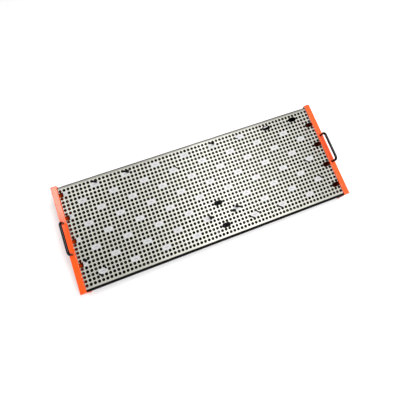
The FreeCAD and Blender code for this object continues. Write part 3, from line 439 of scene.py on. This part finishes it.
def tube_piece(name, tubes, material, body, stands_for=(), smooth_angle=35):
    """One object from a list of tubes, each an array (rings, points around, 3), with one face over
    each open end."""
    points, faces, first = [], [], 0
    for tube in tubes:
        rings, around = tube.shape[:2]
        points.append(tube.reshape(-1, 3))
        faces += grid_faces(rings, around, first).tolist()
        faces.append(list(range(first + around - 1, first - 1, -1)))
        faces.append(list(range(first + (rings - 1) * around, first + rings * around)))
        first += rings * around
    mesh = bpy.data.meshes.new(name)
    mesh.from_pydata(np.concatenate(points).tolist(), [], faces)
    mesh.materials.append(material)
    piece = bpy.data.objects.new(name, mesh)
    bpy.context.collection.objects.link(piece)
    mesh.shade_smooth()
    with bpy.context.temp_override(object=piece, active_object=piece,
                                   selected_editable_objects=[piece]):
        bpy.ops.object.shade_smooth_by_angle(angle=math.radians(smooth_angle))
    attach(piece, body)
    if stands_for:
        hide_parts(*stands_for)
    return piece


def obround(count):
    """A slot's outline with round ends, count points on each: the end's side, 1 or -1, and the
    cosine and sine of its angle."""
    end = np.linspace(-math.pi / 2, math.pi / 2, count)
    angle = np.concatenate([end, end + math.pi])
    centre = np.where(np.arange(2 * count) < count, 1.0, -1.0)
    return centre, np.cos(angle), np.sin(angle)


# ---- Port covers --------------------------------------------------------------------------
COVER_OVERLAP = 0.0013
COVER_HEIGHT = 0.0010
COVER_END_POINTS = 11
COVER_CLEARANCE = 0.0002
COVER_WALL_GAP = 0.0130
OPEN_PORTS = {(23, 56), (23, 64), (8, 36), (2, 36)}
PORT_ROWS = range(PORT_FIRST_ROW, ROW_COUNT - 1, PORT_ROW_STEP)


def covered_ports():
    """Row and left column of each port that has a cover."""
    ports = [(row, column) for index, row in enumerate(PORT_ROWS)
             for column in range(PORT_FIRST_COLUMN if index % 2 == 0 else 0,
                                 COLUMN_COUNT - 1, PORT_COLUMN_STEP)]
    return [port for port in ports if port not in OPEN_PORTS and port[1] < COLUMN_COUNT - 2]


def cover_tube(row, column):
    """Snap-in cover: slot outlines, each with the radius and height of one point of a profile. The
    profile runs from inside the skirt down round it, out under the flange, over its round rim and
    into a shallow field. Covers that would meet the left panel are cut short."""
    rim = PORT_WIDTH / 2 + COVER_OVERLAP
    skirt = PORT_WIDTH / 2 - COVER_CLEARANCE
    profile = np.array([
        (skirt - 0.0012, -0.0012), (skirt - 0.0012, -0.0050), (skirt - 0.0003, -0.0050),
        (skirt, -0.0046), (skirt, -0.00002), (rim - 0.0001, -0.00002), (rim, 0.0002),
        (rim - 0.00005, 0.0005), (rim - 0.0003, 0.0008), (rim - 0.0007, 0.00095),
        (rim - 0.0017, COVER_HEIGHT), (rim - 0.0020, 0.00094), (rim - 0.0024, 0.00072),
    ])
    centre, across, along = obround(COVER_END_POINTS)
    radius = profile[:, :1]
    x = (column_x(column) + column_x(column + 1)) / 2 \
        + centre * (PORT_LENGTH - PORT_WIDTH) / 2 + radius * across
    x = np.maximum(x, -PANEL_LOW.x + COVER_WALL_GAP)
    return on_deck(x, row_u(row) + radius * along, profile[:, 1:] + np.zeros_like(x))


# ---- Cable ties ---------------------------------------------------------------------------
TIE_THICKNESS = 0.0011
TIE_CORNER = 0.0003
TIE_BEND = 0.0012
TIE_SAG = 0.00035
HEAD_LENGTH, HEAD_HEIGHT, HEAD_CORNER = 1.5, 0.9, 0.18  # as shares of the band's width
HEADED_WIDTH = 5.2                                      # bands wider than this keep their heads
# Hole (row, column), end of the band (row, column), width in millimetres
TIES = (
    ((24, 8), (23.5, 9.3), 6.0),
    ((24, 16), (23.35, 17.6), 6.4),
    ((24, 40), (23.4, 41.2), 6.0),
    ((23, 47), (22.6, 47.9), 3.4),
    ((21, 29), (20.1, 29.7), 3.4),
    ((6, 33), (4.6, 33.5), 6.4),
    ((5, 39), (4.7, 40.1), 6.2),
    ((5, 42), (5.7, 40.4), 6.0),
    ((2, 43), (1.1, 44.2), 4.4),
    ((3, 45), (2.2, 45.6), 4.4),
    ((2, 51), (1.1, 52.2), 4.4),
    ((6, 65), (4.9, 65.6), 4.4),
    ((11, 63), (10.4, 63.7), 3.8),
    ((6, 1), (5.5, 1.6), 5.6),
    ((1, 4), (1.6, 3.4), 5.0),
    ((3, 5), (2.3, 5.4), 5.0),
)


def rounded_section(width, height, corner, count=4):
    """Rounded rectangle, anticlockwise from its right side, as two arrays."""
    quarter = np.linspace(0, math.pi / 2, count)
    angle = np.concatenate([quarter + turn * math.pi / 2 for turn in range(4)])
    sign_x = np.repeat([1, -1, -1, 1], count)
    sign_y = np.repeat([1, 1, -1, -1], count)
    return (sign_x * (width / 2 - corner) + corner * np.cos(angle),
            sign_y * (height / 2 - corner) + corner * np.sin(angle))


def tie_band(start, end, width):
    """The band: a rounded strip swept up out of its hole, round a quarter bend and along the deck,
    with a slight sag. Each section stands square to the path."""
    x0, u0 = column_x(start[1]), row_u(start[0])
    step = np.array([column_x(end[1]) - x0, row_u(end[0]) - u0])
    length = float(np.hypot(*step))
    along = step / length
    rest = COVER_HEIGHT + TIE_THICKNESS / 2
    turn = np.linspace(0, math.pi / 2, 6)
    run = np.linspace(0, 1, 9)[1:]
    reach = np.concatenate([[0, 0], TIE_BEND * (1 - np.cos(turn)),
                            TIE_BEND + run * (length - TIE_BEND)])
    level = np.concatenate([[-0.006, -0.003], rest - TIE_BEND + TIE_BEND * np.sin(turn),
                            rest - TIE_SAG * np.sin(math.pi * run)])
    tilt = np.concatenate([[math.pi / 2] * 2, math.pi / 2 - turn, np.zeros(8)])
    side, thick = rounded_section(width / 1000, TIE_THICKNESS, TIE_CORNER)
    forward = reach[:, None] - np.sin(tilt)[:, None] * thick
    up = level[:, None] + np.cos(tilt)[:, None] * thick
    x = x0 + along[0] * forward - along[1] * side
    u = u0 + along[1] * forward + along[0] * side
    return on_deck(x, u, up)


def tie_head(start, end, width):
    """The ratchet head: a rounded block over the band's end, its section scaled along its length so
    that both ends and the middle are slimmer."""
    x1, u1 = column_x(end[1]), row_u(end[0])
    step = np.array([x1 - column_x(start[1]), u1 - row_u(start[0])])
    along = step / np.hypot(*step)
    w = width / 1000
    t = np.array([0.0, 0.02, 0.08, 0.3, 0.7, 0.92, 0.98, 1.0])
    shrink = np.array([0.72, 0.88, 1.0, 0.97, 0.97, 1.0, 0.88, 0.72])
    side, thick = rounded_section(HEAD_LENGTH * w, HEAD_HEIGHT * w, HEAD_CORNER * w)
    forward = (t - 1.0)[:, None] * HEAD_LENGTH * w + np.zeros_like(side)
    side = shrink[:, None] * side
    thick = shrink[:, None] * thick + COVER_HEIGHT + HEAD_HEIGHT / 2 * w
    x = x1 + along[0] * forward - along[1] * side
    u = u1 + along[1] * forward + along[0] * side
    return on_deck(x, u, thick)


# ---- Floor, lights and camera -------------------------------------------------------------
FLOOR_SIZE = 12.0
FLOOR_GLOW = 0.24
DOME_RADIUS = 5.9
DOME_FADE_HEIGHT = 0.6  # share of the radius at which the dome is fully bright
DOME_RINGS, DOME_AROUND = 17, 64


def floor():
    """A pale, matt floor that glows slightly, so that shadows stay soft."""
    bpy.ops.mesh.primitive_plane_add(size=FLOOR_SIZE, location=(0, 0, 0))
    plane = bpy.context.object
    plane.name = "floor"
    f = Finish("floor", IOR=1.45, Roughness=0.9)
    f.shader.inputs["Emission Color"].default_value = (1, 1, 1, 1)
    f.shader.inputs["Emission Strength"].default_value = FLOOR_GLOW
    f.feed("Base Color", f.blend(f.noise(3, 2), (0.68, 0.68, 0.68, 1), (0.70, 0.70, 0.70, 1)))
    plane.data.materials.append(f.material)


def backdrop():
    """A pale dome that only the camera sees: a sphere's latitude rings, from the floor almost to
    its top, where one face closes it."""
    turn = np.linspace(0, 2 * math.pi, DOME_AROUND, endpoint=False)
    rise = np.linspace(0, math.pi / 2 - 0.01, DOME_RINGS)[:, None]
    rings = DOME_RADIUS * np.stack([np.cos(rise) * np.cos(turn), np.cos(rise) * np.sin(turn),
                                    np.sin(rise) + np.zeros_like(turn)], -1)
    mesh = bpy.data.meshes.new("backdrop")
    top = list(range((DOME_RINGS - 1) * DOME_AROUND, DOME_RINGS * DOME_AROUND))
    faces = grid_faces(DOME_RINGS, DOME_AROUND).tolist() + [top]
    mesh.from_pydata(rings.reshape(-1, 3).tolist(), [], faces)
    mesh.shade_smooth()
    f = Finish("backdrop", Specular_IOR_Level=0.0, Emission_Strength=1.0)
    f.shader.inputs["Base Color"].default_value = (0, 0, 0, 1)
    height = f.axes()[2]
    risen = height / (DOME_FADE_HEIGHT * DOME_RADIUS)
    f.feed("Emission Color", f.blend(risen, rgb(206, 206, 206), rgb(240, 240, 240)))
    mesh.materials.append(f.material)
    dome = bpy.data.objects.new("backdrop", mesh)
    for ray in ("diffuse", "glossy", "transmission", "volume_scatter", "shadow"):
        setattr(dome, "visible_" + ray, False)
    bpy.context.collection.objects.link(dome)


def area_light(name, place, target, size, power):
    """A soft box at place, turned to face target."""
    data = bpy.data.lights.new(name, "AREA")
    data.shape = "RECTANGLE"
    data.size, data.size_y = size
    data.energy = power
    lamp = bpy.data.objects.new(name, data)
    lamp.location = place
    lamp.rotation_euler = (Vector(target) - Vector(place)).to_track_quat("-Z", "Y").to_euler()
    bpy.context.collection.objects.link(lamp)


def sun(name, source, strength, angle):
    """Even light from far off towards source; its angle sets how soft the shadows are."""
    data = bpy.data.lights.new(name, "SUN")
    data.energy = strength
    data.angle = math.radians(angle)
    lamp = bpy.data.objects.new(name, data)
    lamp.rotation_euler = (-Vector(source)).to_track_quat("-Z", "Y").to_euler()
    bpy.context.collection.objects.link(lamp)


def lights():
    """A dim even sky, two suns and three soft boxes."""
    world = bpy.data.worlds.new("studio")
    world.use_nodes = True
    world.node_tree.nodes["Background"].inputs["Color"].default_value = (1, 1, 1, 1)
    world.node_tree.nodes["Background"].inputs["Strength"].default_value = 0.15
    bpy.context.scene.world = world
    sun("key", (0.45, -0.62, 0.64), 1.10, 50)
    sun("fill", (-0.6, -0.45, 0.66), 0.15, 60)
    area_light("overhead", (0.38, -0.04, 1.6), (0.05, 0.0, 0), (1.15, 0.65), 34)
    area_light("rear_left", (-0.76, 0.50, 1.5), (-0.35, 0.16, 0), (0.7, 0.4), 7.5)
    area_light("right", (1.65, 0.04, 1.9), (0.4, 0.0, 0), (1.3, 0.7), 1.5)


def camera():
    """A short lens nearly straight above the board, with a little shift."""
    data = bpy.data.cameras.new("camera")
    data.lens = 24.75
    data.sensor_width = 36.0
    data.shift_x = 0.003
    data.shift_y = -0.0254
    data.clip_start = 0.01
    view = bpy.data.objects.new("camera", data)
    view.location = (-0.1353, -0.2275, 0.9138)
    view.rotation_euler = tuple(math.radians(angle) for angle in (17.363, -1.738, -20.537))
    bpy.context.collection.objects.link(view)
    bpy.context.scene.camera = view


camera()
lights()
floor()
backdrop()
finishes = finish_nodes()
covers = [cover_tube(*port) for port in covered_ports()]
bands = [tie_band(*tie) for tie in TIES]
heads = [tie_head(*tie) for tie in TIES if tie[2] > HEADED_WIDTH]
tube_piece("port_caps", covers, finishes["pale_plastic"], "deck",
           ("port_covers",))
tube_piece("tie_bands", bands + heads, finishes["black_nylon"], "deck",
           ("cable_ties",))
bpy.context.scene.view_settings.view_transform = "Standard"
